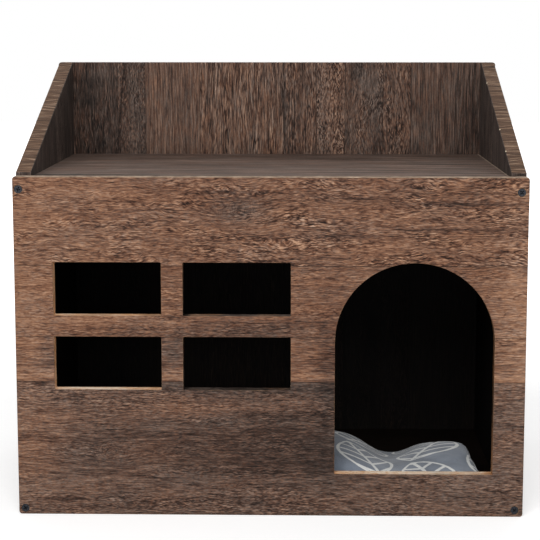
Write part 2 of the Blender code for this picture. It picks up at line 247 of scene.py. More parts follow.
def scorch_board(name, axes, core, staves, knots=(), spots=(), roughness=0.62, relief=0.5):
    """The finish of one board: matt, with brown ridges of hard grain between sooty grooves. The axes
    are those along the grain, across it and into the board, whose core is as far from the house's
    middle plane as given, in millimetres. The staves run from the lowest across to the highest. A
    knot is its middle, its reach and how dark its pith is. The spots each lighten, smoke and calm the
    wood by as much as they say."""
    finish, tree, shader = start_finish(name, roughness, 0.1)
    add = partial(node, tree)
    texture = add("TexCoord").node.outputs
    point = add("VectorMath", {"Vector": texture["Object"], "Scale": MM}, operation="SCALE")
    xyz = add("SeparateXYZ", (point,)).node.outputs
    along, across, depth = (xyz["XYZ".index(axis)] for axis in axes)

    glue = 1e3
    for index, (edge, heart_along, heart_across, *tint, contrast, fleck, sway) in enumerate(staves):
        heart = (heart_along, heart_across, 97.0 * index)
        habit = (contrast, fleck, sway)
        if index == 0:
            hearts, tints, habits = heart, tint, habit
        else:
            past = add("Math", (across, last_edge), operation="GREATER_THAN")
            hearts = add("Mix", (past, hearts, heart), data_type="VECTOR")
            tints = add("Mix", (past, tints, tint), data_type="VECTOR")
            habits = add("Mix", (past, habits, habit), data_type="VECTOR")
            away = add("Math", (across, last_edge), operation="SUBTRACT")
            away = add("Math", (away,), operation="ABSOLUTE")
            glue = add("Math", (glue, away), operation="MINIMUM")
        last_edge = edge
    light, smoke, ripple = add("SeparateXYZ", (tints,)).node.outputs
    contrasts, fleck, sway = add("SeparateXYZ", (habits,)).node.outputs

    # A knot pushes the grain aside and closes it in fine ovals, and its pith may be dark.
    bent = across
    ovals = 0.0
    for middle_along, middle_across, reach, dark in knots:
        close = near(add, along, across, (middle_along, middle_across, reach * 1.7, reach))
        away = add("CombineXYZ", (
            add("MapRange", (along, middle_along, middle_along + 1.5), clamp=False),
            add("Math", (across, middle_across), operation="SUBTRACT")))
        ring = add("VectorMath", (away,), operation="LENGTH")
        turned = add("Math", (close, 0.35), operation="MULTIPLY")
        bent = add("Mix", (turned, bent, add("Math", (ring, middle_across), operation="ADD")))
        uneven = add("TexNoise", {"Vector": point, "Scale": 0.07, "Detail": 3.0})
        ring = add("Math", (uneven, 26.0, ring), operation="MULTIPLY_ADD")
        ring = add("Math", (ring, math.tau / OVAL_SPACING), operation="MULTIPLY")
        ring = add("Math", (ring,), operation="SINE")
        ovals = add("Math", (close, ring, ovals), operation="MULTIPLY_ADD")
        pith = add("Math", (close, 7.0), operation="POWER")
        light = add("Math", (pith, -dark, light), operation="MULTIPLY_ADD")
    light = add("Math", (ovals, 0.07, light), operation="MULTIPLY_ADD")
    for *spot, lighter, smokier, calmer in spots:
        close = near(add, along, across, spot)
        if calmer:
            calm = add("Math", (close, -calmer, 1.0), operation="MULTIPLY_ADD")
            contrasts = add("Math", (contrasts, calm), operation="MULTIPLY")
        light = add("Math", (close, lighter, light), operation="MULTIPLY_ADD")
        smoke = add("Math", (close, smokier, smoke), operation="MULTIPLY_ADD")

    place = add("CombineXYZ", (along, bent, depth))
    place = add("VectorMath", (place, hearts), operation="SUBTRACT")
    grain = add("Group", {
        "Place": place, "Ripple": ripple, "Contrast": contrasts, "Fleck Length": fleck, "Sway": sway},
        node_tree=grain_group).node.outputs
    tone = add("Math", (grain["Tone"], light), operation="ADD")
    smoke = add("Math", (grain["Smoke"], smoke), operation="ADD")
    colour = add("Mix", (
        smoke, add("ValToRGB", (tone,), stops=BROWN_STOPS),
        add("ValToRGB", (tone,), stops=SMOKED_STOPS)), data_type="RGBA")
    seam = add("MapRange", (glue, *GLUE_LINE_FADE, 0.55, 0.0))
    colour = add("Mix", (seam, colour, linear(GLUE_LINE)), data_type="RGBA")

    # A sawn end shows the cut rings as fine lines across the board's thickness, which tilt from
    # stave to stave.
    tilt = add("Math", (across, 22.0), operation="DIVIDE")
    tilt = add("CombineXYZ", (tilt,))
    tilt = add("TexNoise", {"Vector": tilt, "Scale": 1.0, "Detail": 0.0})
    tilt = add("MapRange", (tilt, 0.35, 0.65, -0.3, 0.3))
    into = add("Math", (depth,), operation="ABSOLUTE")
    into = add("Math", (into, core), operation="SUBTRACT")
    tilted = add("Math", (into, tilt, across), operation="MULTIPLY_ADD")
    lines = add("CombineXYZ", (tilted, into, depth))
    lines = add("VectorMath", (lines, SAWN_LINE), operation="DIVIDE")
    lines = add("TexNoise", {"Vector": lines, "Scale": 1.0, "Detail": 3.0, "Roughness": 0.7})
    lines = add("MapRange", (lines, 0.3, 0.7))
    sawn = add("ValToRGB", (lines,), stops=END_GRAIN_STOPS)
    facing = add("SeparateXYZ", (texture["Normal"],)).node.outputs["XYZ".index(axes[0])]
    facing = add("Math", (facing,), operation="ABSOLUTE")
    facing = add("MapRange", (facing, 0.6, 0.8))
    colour = add("Mix", (facing, colour, sawn), data_type="RGBA")

    # Handling bares the arrises here and there.
    worn = add("Bevel", {"Radius": WEAR_REACH}, samples=4)
    worn = add("VectorMath", (
        worn, add("NewGeometry").node.outputs["True Normal"]), operation="DOT_PRODUCT")
    worn = add("MapRange", (worn, 0.98, 0.80))
    bare = add("TexNoise", {"Vector": point, "Scale": 0.06, "Detail": 3.0})
    bare = add("MapRange", (bare, 0.42, 0.66, 0.0, 0.8))
    worn = add("Math", (worn, bare), operation="MULTIPLY")
    colour = add("Mix", (worn, colour, linear(WORN_ARRIS)), data_type="RGBA")

    # Painted shade: everything within the room is darkened nearly to black.
    inside = add("MapRange", (within(add, xyz, CABIN_SPANS), 0.0, 1.0, 1.0, INSIDE_SHADE_SHARE))
    colour = add("VectorMath", (colour, inside), operation="MULTIPLY")

    # The brushed relief follows the tone, and the glue lines lie a little lower.
    height = add("Math", (seam, -0.6, grain["Tone"]), operation="MULTIPLY_ADD")
    bump = add("Bump", {"Strength": relief, "Distance": BRUSH_DEPTH, "Height": height})
    tree.links.new(bump, shader.inputs["Normal"])
    return Board(finish, shader, add, point, xyz, colour, tone)


def dress(board, colour, *pieces):
    """Gives the pieces the board's finish, in the colour that it has in the end."""
    board.finish.node_tree.links.new(colour, board.shader.inputs["Base Color"])
    for piece in pieces:
        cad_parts[piece].material_slots[0].material = board.finish


# Above the roof the sides' inner faces are sootier and greyer, in upright lumps, partly as painted
# shade, and their front ends are darkened the same way. The saw has chipped the slanted arris of the
# right side in three places, down to pale wood.
side_board = scorch_board("charred side board", "ZYX", 241.0, SIDE_STAVES)
add = side_board.add
lumps = add("VectorMath", (side_board.point, LUMP_SIZE), operation="DIVIDE")
lumps = add("TexNoise", {"Vector": lumps, "Scale": 1.0, "Detail": 3.0})
lumps = add("MapRange", (lumps, 0.3, 0.7, 0.5 * INNER_FACE_CHAR_AND_SHADE, 1.5 * INNER_FACE_CHAR_AND_SHADE))
# Painted shade in part: the inner faces and front ends above the roof are darkened and greyed.
dark = within(add, side_board.xyz, (("X", -INNER_FACES_X, INNER_FACES_X),))
ends = within(add, side_board.xyz, (("Y", *FRONT_ENDS_Y),))
dark = add("Math", (dark, ends), operation="MAXIMUM")
dark = add("Mix", (dark, 1.0, lumps))
colour = add("HueSaturation", {
    "Saturation": add("MapRange", (dark, 0.9, 1.0, 0.65, 1.0)), "Color": side_board.colour})
colour = add("VectorMath", (colour, dark), operation="MULTIPLY")
for place in ARRIS_CHIPS:
    away = add("VectorMath", (side_board.point, place), operation="DISTANCE")
    chip = add("MapRange", (away, *CHIP_FADE, 1.0, 0.0))
    colour = add("Mix", (chip, colour, linear(CHIPPED_WOOD)), data_type="RGBA")
dress(side_board, colour, "left_side", "right_side")

# The floor. A paulownia board of three staves, with its grain from left to right, cut to fit between
# the sides, front and back, and held by two screws through each side. Like the whole inside, it is
# darkened nearly to black as painted shade.
FLOOR_STAVES = (
    (-50, 0, -100, -0.1, 0.3, 0.2, 0.8, 30, 0.8),
    (50, 80, 0, -0.1, 0.3, 0.2, 0.8, 18, 1.0),
    (200, -100, 90, -0.1, 0.3, 0.2, 0.8, 50, 0.5),
)
floor_board = scorch_board("charred floor board", "XYZ", 6.0, FLOOR_STAVES)
dress(floor_board, floor_board.colour, "floor_panel")

# The roof. A paulownia board of three staves between the sides, just behind the top of the front, and
# held by two screws through each side. Its top is the floor of the tray, scorched and rubbed smoother
# than the walls, so its streaks are long and soft, with a painted shadow along the front edge.
# The staves' lightness falls towards the back as painted shade.
ROOF_STAVES = (
    (-40, 60, -300, -0.02, 0.9, 0.0, 0.4, 60, 1.0),
    (60, -100, -200, -0.05, 0.9, 0.0, 0.4, 60, 1.0),
    (200, 100, 290, -0.13, 0.9, 0.0, 0.4, 60, 1.0),
)
STREAK_SIZE = (110.0, 13.0, 1.0)  # millimetres along, across and into the board
FRONT_SHADOW_Y = (-141.0, -117.0)   # from the front edge back to where the painted shadow has faded
LEFT_SHADOW_X = (-140.0, -80.0)     # the painted shadow is dark on the left and fades out to the right
JOINT_HIGHLIGHT = "#9b8977"
JOINT_HIGHLIGHT_X = (231.0, 231.8)
roof_board = scorch_board(
    "rubbed charred roof board", "XYZ", 330.2, ROOF_STAVES, roughness=0.58, relief=0.2)
add = roof_board.add
x, y, _ = roof_board.xyz
uneven = add("TexNoise", {"Vector": roof_board.point, "Scale": 0.05, "Detail": 3.0})
uneven = add("MapRange", (uneven, 0.3, 0.7, -3.0, 7.0))
# Painted shadow along the roof's front edge, darkest on the left.
front_shadow = add("Math", (y, uneven), operation="SUBTRACT")
front_shadow = add("MapRange", (front_shadow, *FRONT_SHADOW_Y, 0.9, 0.0), interpolation_type="SMOOTHSTEP")
thick = add("MapRange", (x, *LEFT_SHADOW_X, 1.0, 0.15))
front_shadow = add("Math", (front_shadow, thick), operation="MULTIPLY")
streaks = add("VectorMath", (roof_board.point, STREAK_SIZE), operation="DIVIDE")
streaks = add("TexNoise", {"Vector": streaks, "Scale": 1.0, "Detail": 3.0})
streaks = add("MapRange", (streaks, 0.3, 0.7, 0.5, 1.5))
colour = add("VectorMath", (roof_board.colour, streaks), operation="MULTIPLY")
colour = add("Mix", (front_shadow, colour, linear(GLUE_LINE)), data_type="RGBA")
# A painted highlight in a thin pale line along the joint with the right side.
joint_highlight = add("MapRange", (x, *JOINT_HIGHLIGHT_X, 0.0, 0.7))
colour = add("Mix", (joint_highlight, colour, linear(JOINT_HIGHLIGHT)), data_type="RGBA")
dress(roof_board, colour, "roof_shelf")

# The back. A board of nine upright paulownia staves of uneven width, screwed over the rear ends of
# the sides. It stands above the roof as the rear rim of the tray. Each stave was cut from another
# plank, so each has its own figure and took the flame in its own way.
# The staves' tones are those of the face in the tray, darkened partly as painted shade.
BACK_STAVES = (
    (-182.3, 330, -215, -0.24, 0.75, 0.6, 1.2, 26, 1.0),
    (-150.6, 250, -160, -0.16, 0.8, 1.3, 0.9, 11, 1.0),
    (-87.8, 0, 300, -0.09, 0.6, 0.0, 0.8, 44, 0.15),
    (8.9, 200, 300, -0.08, 0.55, 0.2, 1.6, 32, 0.35),
    (46.2, 400, -200, -0.14, 0.6, 0.2, 1.5, 22, 0.35),
    (78.9, 410, 60, -0.08, 0.6, 1.5, 1.4, 12, 0.9),
    (122.5, 440, 100, -0.10, 0.7, 1.2, 1.1, 14, 1.3),
    (154.6, 380, 140, -0.14, 0.65, 1.0, 1.3, 17, 0.9),
    (251.0, 100, 500, -0.15, 0.7, 0.0, 0.75, 44, 0.15),
)
OUTER_FACE_SHARE = 1.45       # the outer face is this much lighter than the one in the tray, whose tone is darkened partly as painted shade
OUTER_FACE_Y = (162.9, 170.0)
ROOF_LINE_SHADE = (336, 0, 12, 900)  # painted shade in a spot as long as the board, in the corner where the roof meets it
BACK_SPOTS = (
    # Middle along and across, reach along and across, lightness, smoke, calm.
    (418, -214, 12, 11, -0.14, 0.3, 0.0),
    (428, -200, 12, 14, 0.10, 0.3, 0.3),
    (398, -219, 9, 12, -0.14, 0.3, 0.0),
    (352, -205, 30, 22, -0.07, 0.1, 0.0),
    (433, 92, 10, 8, -0.14, 0.3, 0.3),
    (420, 104, 14, 13, 0.07, 0.3, 0.5),
    (395, 9, 60, 2.2, -0.14, 0.3, 0.0),
    (380, 225, 70, 12, -0.12, 0.1, 0.0),
    (415, 60, 40, 12, 0.03, 0.0, 0.0),
    (360, 205, 45, 28, -0.07, 0.1, 0.0),
)
back_board = scorch_board("charred back board", "ZXY", 157.1, BACK_STAVES, spots=BACK_SPOTS)
add = back_board.add
x, _, z = back_board.xyz
# The tray face gets painted shade along its corner with the roof; the outer face is made lighter.
outer = within(add, back_board.xyz, (("Y", *OUTER_FACE_Y),))
roof_line_shade = add("Math", (near(add, z, x, ROOF_LINE_SHADE), -0.22, 1.0), operation="MULTIPLY_ADD")
outer = add("Mix", (outer, roof_line_shade, OUTER_FACE_SHARE))
colour = add("VectorMath", (back_board.colour, outer), operation="MULTIPLY")
dress(back_board, colour, "back_panel")

# The front. A board of four paulownia staves with the grain from left to right, screwed over the
# front ends of the sides. Its windows and doorway are routed after the scorching, so their edges are
# bare wood, smoked in part. Its top edge is planed and pale.
FRONT_STAVES = (
    (135.0, -156, 66, -0.11, 0.6, 0.6, 0.9, 14, 0.5),
    (179.4, 40, -320, -0.04, 0.15, 0.2, 0.9, 20, 0.4),
    (250.0, 90, -360, -0.05, 0.15, 0.3, 0.9, 16, 0.4),
    (338.0, -31, 300, -0.06, 0.2, 1.0, 1.05, 17, 1.2),
)
FRONT_KNOTS = (
    # Middle along and across, reach and how dark the pith is.
    (-31, 304, 15, 0.03),
    (-156.5, 65.7, 14, 0.0),
    (185, 301.6, 7, 0.06),
    (232.8, 281, 4, 0.4),
)
FRONT_SPOTS = (
    # Middle along and across, reach along and across, lightness, smoke, calm.
    (-225, 305, 60, 45, 0.06, -0.1, 0.35),
    (-150, 322, 60, 9, 0.06, -0.1, 0.5),
    (-119, 327, 48, 1.8, -0.12, 0.0, 0.0),
    (-200, 300, 40, 5, -0.08, 0.0, 0.0),
    (-115, 298, 35, 14, 0.0, 0.0, -0.4),
    (30, 298, 30, 14, 0.0, 0.0, -0.4),
    (-28, 302, 26, 15, -0.03, 0.45, 0.2),
    (98, 316, 22, 2, -0.2, 0.2, 0.0),
    (182, 311, 60, 2.2, -0.24, 0.3, 0.0),
    (60, 279, 55, 1.8, -0.2, 0.2, 0.0),
    (180, 286, 55, 1.8, -0.2, 0.2, 0.0),
    (-60, 322, 50, 2.2, -0.2, 0.2, 0.0),
    (140, 300, 55, 25, 0.0, 0.0, -0.3),
    (-240, 210, 35, 60, 0.09, 0.0, 0.2),
    (-165, 195, 60, 4, 0.10, 0.0, 0.0),
    (-160, 188.5, 60, 1.8, -0.12, 0.1, 0.0),
    (-160, 183, 60, 3, -0.08, 0.1, 0.0),
    (-96, 199, 12, 3, -0.14, 0.2, 0.0),
    (-96, 194, 12, 1.8, 0.2, 0.0, 0.0),
    (-25, 184, 75, 10, -0.14, 0.35, 0.0),
    (58, 145, 12, 60, -0.16, 0.2, 0.0),
    (-94, 160, 14, 18, -0.10, 0.5, 0.0),
    (-214, 164, 15, 16, -0.06, 0.4, 0.0),
    (243, 190, 22, 110, 0.14, 0.0, 0.0),
    (20, 75, 100, 50, -0.12, 0.1, 0.0),
    (150, 20, 90, 30, 0.05, 0.0, 0.0),
    (-240, 70, 40, 60, 0.10, -0.3, 0.0),
    (-70, 108, 110, 9, 0.06, -0.25, -0.2),
    (0, 141, 300, 5, 0.12, -0.1, 0.0),
    (-40, 129, 90, 6, -0.06, 0.3, 0.0),
)
SAWN_STOPS = ((0.0, "#2a1a0f"), (0.25, "#a8744a"), (0.50, "#e0ab7c"), (0.80, "#fff0dc"))
SMOKED_SAWN_STOPS = ((0.0, "#15100c"), (0.25, "#3c332e"), (0.50, "#665951"), (0.80, "#97897d"))
REVEAL_SPOTS = (
    # Middle along and across, reach along and across, lightness, smoke.
    (-160, 126.8, 75, 6, 0.25, -0.6),
    (-160, 200.5, 75, 6, 0.0, -0.4),
    (-32, 126.8, 70, 8, -0.15, 0.9),
    (-32, 200.5, 70, 8, -0.10, 0.9),
    (-212, 190, 6, 90, -0.08, -0.9),
    (-85, 190, 6, 90, -0.45, 0.5),
    (130, 42.7, 70, 6, 0.3, -0.6),
    (205, 42.7, 18, 6, 0.1, 0.2),
    (219, 150, 6, 120, -0.45, 0.2),
)
# Between the board's two faces and its outer edges, where only the openings' cut edges lie.
OPENING_SPANS = (("X", -248.0, 248.0), ("Y", -162.9, -151.5), ("Z", 1.5, 335.5))
PALE_TOP_STOPS = ((0.3, "#6d5b4d"), (0.6, "#a08b78"), (0.8, "#c2ae98"))
PALE_TOP_Z = (336.2, 336.5)
front_board = scorch_board(
    "charred front board", "XZY", 157.1, FRONT_STAVES, FRONT_KNOTS, FRONT_SPOTS)
add = front_board.add
x, _, z = front_board.xyz

# The saw cuts show the wood's own figure in bare yellow-brown, grey where the smoke got in.
smoke = add("TexNoise", {"Vector": front_board.point, "Scale": 0.03, "Detail": 3.0})
smoke = add("MapRange", (smoke, 0.3, 0.7, -0.1, 0.8))
light = front_board.tone
for *spot, lighter, smokier in REVEAL_SPOTS:
    close = near(add, x, z, spot)
    light = add("Math", (close, lighter, light), operation="MULTIPLY_ADD")
    smoke = add("Math", (close, smokier, smoke), operation="MULTIPLY_ADD")
sawn = add("Mix", (
    smoke, add("ValToRGB", (light,), stops=SAWN_STOPS),
    add("ValToRGB", (light,), stops=SMOKED_SAWN_STOPS)), data_type="RGBA")
cut = within(add, front_board.xyz, OPENING_SPANS)
colour = add("Mix", (cut, front_board.colour, sawn), data_type="RGBA")
patchy = add("TexNoise", {"Vector": front_board.point, "Scale": 0.12, "Detail": 4.0})
pale = add("ValToRGB", (patchy,), stops=PALE_TOP_STOPS)
top = add("MapRange", (z, *PALE_TOP_Z))
colour = add("Mix", (top, colour, pale), data_type="RGBA")
dress(front_board, colour, "front_panel")

# The sixteen wood screws. Each is steel wire with a countersunk head, a pressed cross recess and a
# rolled thread, blacked with oxide and driven by hand. Four hold each of the front and the back, and
# four go through each side into the roof and the floor.
SCREW_SIZES = {
    "Head Radius": 0.004, "Rim": 0.0004, "Shank Radius": 0.0019, "Core Radius": 0.0013,
    "Length": 0.032, "Point Length": 0.006, "Smooth Length": 0.009, "Thread Pitch": 0.0021,
    "Recess Reach": 0.0024, "Recess Width": 0.0011, "Recess Depth": 0.0023,
}
HEAD_RINGS = 0.12             # of the bar's rings go to the head, whose outline turns most
HEAD_DEPTH = 0.003
RIM_EASING = 0.00022
RIDGE_SHARE = 0.24            # of a turn, from the thread's crest down to its root
SMOOTH_SHARE = 0.85           # of the thread's radius, on the smooth part of the shank
BLADE_TAPERS = ((0.30, 1.70), (0.5, 1.5))  # along and across a blade, at its bottom and at its top
OUTWARDS = {"front": (0, -1, 0), "back": (0, 1, 0), "left": (-1, 0, 0), "right": (1, 0, 0)}
TURNS = {  # Degrees from upright, as the screwdriver left them.
    "front_screw_upper_left": -10, "front_screw_upper_right": 45, "front_screw_lower_left": 30,
    "front_screw_lower_right": 45,
}


def make_screw_tree(finish):
    """Turns the screw from a bar, cuts its cross recess, and puts one at every point given, its head
    facing the point's outwards vector and spun by its turn."""
    tree = bpy.data.node_groups.new("cross recess screws", "GeometryNodeTree")
    tree.interface.new_socket("Geometry", in_out="INPUT", socket_type="NodeSocketGeometry")
    for label in SCREW_SIZES:
        tree.interface.new_socket(label, in_out="INPUT", socket_type="NodeSocketFloat")
    tree.interface.new_socket("Geometry", in_out="OUTPUT", socket_type="NodeSocketGeometry")
    given = tree.nodes.new("NodeGroupInput").outputs
    add = partial(node, tree)

    # The bar's rings are spread from the top of the head, at depth zero, down to the point.
    bar = add("GeometryNodeMeshCylinder", {
        "Vertices": 32, "Side Segments": 90, "Radius": 1.0, "Depth": 1.0}, fill_type="TRIANGLE_FAN")
    place = add("GeometryNodeInputPosition")
    x, y, z = add("SeparateXYZ", (place,)).node.outputs
    share = add("Math", (0.5, z), operation="SUBTRACT")
    rest = add("Math", (given["Length"], HEAD_DEPTH), operation="SUBTRACT")
    depth = add("Math", (
        add("MapRange", (share, 0.0, HEAD_RINGS, 0.0, HEAD_DEPTH)),
        add("MapRange", (share, HEAD_RINGS, 1.0, 0.0, rest))), operation="ADD")

    # The head is a cone below a straight rim with an eased arris.
    past_rim = add("Math", (depth, given["Rim"]), operation="SUBTRACT")
    past_rim = add("Math", (past_rim, 0.0), operation="MAXIMUM")
    cone = add("Math", (given["Head Radius"], past_rim), operation="SUBTRACT")
    easing = add("Math", (RIM_EASING, depth), operation="SUBTRACT")
    easing = add("Math", (easing, 0.0), operation="MAXIMUM")
    cone = add("Math", (easing, -0.8, cone), operation="MULTIPLY_ADD")

    # The thread is a ridge that winds round the core once in each pitch. The point tapers it away.
    angle = add("Math", (y, x), operation="ARCTAN2")
    angle = add("Math", (angle, math.tau), operation="DIVIDE")
    ridge = add("Math", (depth, given["Thread Pitch"]), operation="DIVIDE")
    ridge = add("Math", (ridge, angle), operation="SUBTRACT")
    ridge = add("Math", (ridge, 0.5), operation="PINGPONG")
    thread = add("MapRange", (ridge, 0.0, RIDGE_SHARE, given["Shank Radius"], given["Core Radius"]))
    smooth = add("Math", (given["Shank Radius"], SMOOTH_SHARE), operation="MULTIPLY")
    in_thread = add("Math", (depth, given["Smooth Length"]), operation="GREATER_THAN")
    shank = add("Mix", (in_thread, smooth, thread))
    left = add("Math", (given["Length"], depth), operation="SUBTRACT")
    left = add("Math", (left, given["Point Length"]), operation="DIVIDE")
    left = add("Math", (left, 1.0), operation="MINIMUM")
    shank = add("Math", (shank, left), operation="MULTIPLY")
    radius = add("Math", (shank, cone), operation="MAXIMUM")
    spread = [add("Math", pair, operation="MULTIPLY") for pair in (
        (x, radius), (y, radius), (depth, -1.0))]
    bar = add("GeometryNodeSetPosition", {"Geometry": bar, "Position": add("CombineXYZ", spread)})
    bar = add("GeometryNodeMergeByDistance", {"Geometry": bar, "Distance": 1e-6})

    # Two crossed blades cut the recess, each a wedge that narrows towards the bottom.
    blade = add("GeometryNodeMeshCube", {"Size": (2.0, 1.0, 2.0)})
    place = add("GeometryNodeInputPosition")
    height = add("SeparateXYZ", (place,)).node.outputs["Z"]
    size = add("CombineXYZ", [given[f"Recess {way}"] for way in ("Reach", "Width", "Depth")])
    tapers = [add("MapRange", (height, -1.0, 1.0, *ends)) for ends in BLADE_TAPERS]
    tapers = add("CombineXYZ", (*tapers, 1.0))
    wedge = add("VectorMath", (place, size), operation="MULTIPLY")
    wedge = add("VectorMath", (wedge, tapers), operation="MULTIPLY")
    blade = add("GeometryNodeSetPosition", {"Geometry": blade, "Position": wedge})
    screw = bar
    for quarter in (0.0, math.pi / 2):
        turned = add("GeometryNodeTransform", {"Geometry": blade, "Rotation": (0.0, 0.0, quarter)})
        screw = add("GeometryNodeMeshBoolean", {"Mesh 1": screw, "Mesh 2": turned},
                    operation="DIFFERENCE", solver="EXACT")

    turn = add("GeometryNodeInputNamedAttribute", {"Name": "turn"}, data_type="FLOAT")
    spin = add("FunctionNodeAxisAngleToRotation", {"Axis": (0.0, 0.0, 1.0), "Angle": turn})
    outwards = add("GeometryNodeInputNamedAttribute", {"Name": "outwards"}, data_type="FLOAT_VECTOR")
    aim = add("FunctionNodeAlignRotationToVector", {"Rotation": spin, "Vector": outwards}, axis="Z")
    screws = add("GeometryNodeInstanceOnPoints", {
        "Points": given["Geometry"], "Instance": screw, "Rotation": aim})
    screws = add("GeometryNodeRealizeInstances", (screws,))
    screws = add("GeometryNodeSetMaterial", {"Geometry": screws, "Material": finish})
    add("NodeGroupOutput", {"Geometry": screws})
    return tree


def plain_mesh(piece, name):
    """The piece with its modifiers worked out, as a plain mesh that stands at the origin."""
    finished = piece.evaluated_get(bpy.context.evaluated_depsgraph_get())
    mesh = bpy.data.meshes.new_from_object(finished)
    piece.modifiers.clear()
    bpy.data.objects.remove(piece)
    plain = bpy.data.objects.new(name, mesh)
    bpy.context.scene.collection.objects.link(plain)
    return plain


# Black oxide: a thin dark grey skin on the steel, slightly blue, with a soft gloss that is mottled by
# the oil it was sealed with.
OXIDE_STOPS = ((0.35, "#222327"), (0.60, "#36383e"), (0.80, "#585a62"))
steel, tree, shader = start_finish("black oxide steel", 0.42, metallic=0.7)
add = partial(node, tree)
point = add("TexCoord").node.outputs["Object"]
mottle = add("TexNoise", {"Vector": point, "Scale": 900.0, "Detail": 3.0})
colour = add("ValToRGB", (mottle,), stops=OXIDE_STOPS)
tree.links.new(colour, shader.inputs["Base Color"])
gloss = add("MapRange", (mottle, 0.3, 0.7, 0.55, 0.32))
tree.links.new(gloss, shader.inputs["Roughness"])

screw_names = sorted(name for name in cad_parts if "_screw_" in name)
heads = bpy.data.meshes.new("screw places")
heads.vertices.add(len(screw_names))
heads.attributes.new("outwards", "FLOAT_VECTOR", "POINT")
heads.attributes.new("turn", "FLOAT", "POINT")
for index, name in enumerate(screw_names):
    facing = Vector(OUTWARDS[name.split("_")[0]])
    low, high = (Vector(corner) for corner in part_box(name))
    half = (high - low) / 2
    heads.vertices[index].co = (low + high) / 2 + facing * abs(half.dot(facing))
    heads.attributes["outwards"].data[index].vector = facing
    heads.attributes["turn"].data[index].value = math.radians(TURNS.get(name, 23 * index % 90))
points = bpy.data.objects.new("screw places", heads)
bpy.context.scene.collection.objects.link(points)
modifier = points.modifiers.new("screws", "NODES")
modifier.node_group = make_screw_tree(steel)
for item in modifier.node_group.interface.items_tree:
    if item.item_type == "SOCKET" and item.name in SCREW_SIZES:
        modifier[item.identifier] = SCREW_SIZES[item.name]
screws = plain_mesh(points, "cross_recess_screws")
screws.data.shade_smooth()
screws.data.set_sharp_from_angle(angle=math.radians(35))
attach(screws, "root")
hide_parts(*screw_names)

# The cushion. Two panels of printed cotton are sewn together along their edge, turned out and filled
# with loose fibre. The filling draws the edge in and puckers the cloth at the seam. The rear has been
# lain on, and a hollow trodden from the doorway back leaves a plump lobe on either side.
CUT_HALF_WIDTH = 0.2165
CUT_HALF_DEPTH = 0.1100
CUT_COLUMNS = 88
CUT_ROWS = 44
CUSHION_MIDDLE_Y = -0.0396
FLOOR_TOP_Z = 0.0120
SEAM_Z = 0.0275
CORNER_ROUNDING = 0.045       # of the panel's half width, and of its half depth
EDGE_DRAWN_IN = 0.005
FIRST_FILL = 0.006            # from the seam up to the cloth, before the cushion is blown up
PUCKER_HEIGHT = 0.0016
PUCKERS_PER_METRE = 45
FILL_FRAMES = 11
FILLING = {
    "quality": 6, "mass": 0.25, "tension_stiffness": 25, "compression_stiffness": 25,
    "shear_stiffness": 8, "bending_stiffness": 0.05, "tension_damping": 10,
    "compression_damping": 10, "shear_damping": 10, "bending_damping": 1, "use_pressure": True,
    "uniform_pressure_force": 5.0,
}
CUSHION_DEPTH_SPAN = (-0.145, 0.065)
TREAD_X = 0.127               # the middle of the hollow, which leans outwards towards the rear
TREAD_LEAN = 0.053
TREAD_HALF_WIDTH = 0.034
TREAD_SHARES = (0.30, 0.95)   # of the height, trodden down at the front and at the rear
TREAD_PULL = 0.022            # by which the hollow draws the rear edge in
LAIN_SHARE = 0.30             # of the height, pressed down all along the rear
LAIN_SPAN = (-0.060, 0.060)
RIGHT_FALLS = ((0.04, 0.050, 0.180), (0.08, 0.185, 0.215))  # of the height, and from x to x
END_SHARE = 0.45              # of the height, pressed down at the rear of the right end
END_SPAN = (0.150, 0.210)
END_DEPTH_SPAN = (-0.040, 0.060)
END_BULGE = 0.010             # by which the right end swells out in the middle
BULGE_SPAN = (0.130, 0.210)
END_TUCK = 0.010              # by which the rear corner there is drawn in, and to the front
CORNER_PULL = 0.030
CORNER_START_Y = 0.020


def sew_cover():
    """The two panels of the cover, sewn along their edge and barely filled. Each keeps its place in
    the flat cloth, in millimetres, as a UV map."""
    bm = bmesh.new()
    cut = bm.loops.layers.uv.new("cloth")
    from_seam = bm.verts.layers.float.new("from_seam")
    for side in (1, -1):
        grid = []
        for row in range(CUT_ROWS + 1):
            v = 2 * row / CUT_ROWS - 1
            line = []
            for column in range(CUT_COLUMNS + 1):
                u = 2 * column / CUT_COLUMNS - 1
                x, y = (
                    half * along * (1 - CORNER_ROUNDING * across ** 10)
                    - EDGE_DRAWN_IN * (1 - across ** 2) ** 2 * along ** 5
                    for half, along, across in ((CUT_HALF_WIDTH, u, v), (CUT_HALF_DEPTH, v, u)))
                full = math.sqrt(max(0.0, (1 - u ** 6) * (1 - v ** 2)))
                patch = Vector((x * PUCKERS_PER_METRE, y * PUCKERS_PER_METRE, side * 3.0))
                z = side * (FIRST_FILL + noise.noise(patch) * PUCKER_HEIGHT) * full
                vertex = bm.verts.new((x, y + CUSHION_MIDDLE_Y, SEAM_Z + z))
                vertex[from_seam] = MM * min(
                    CUT_HALF_WIDTH * (1 - abs(u)), CUT_HALF_DEPTH * (1 - abs(v)))
                line.append(vertex)
            grid.append(line)
        for near_line, far_line in zip(grid, grid[1:]):
            for corners in zip(near_line, near_line[1:], far_line[1:], far_line):
                face = bm.faces.new(corners if side > 0 else corners[::-1])
                for loop in face.loops:
                    loop[cut].uv = loop.vert.co.xy * MM
    bmesh.ops.remove_doubles(bm, verts=bm.verts, dist=1e-5)
    mesh = bpy.data.meshes.new("cushion_cover")
    bm.to_mesh(mesh)
    bm.free()
    cover = bpy.data.objects.new("cushion_cover", mesh)
    bpy.context.scene.collection.objects.link(cover)
    return cover


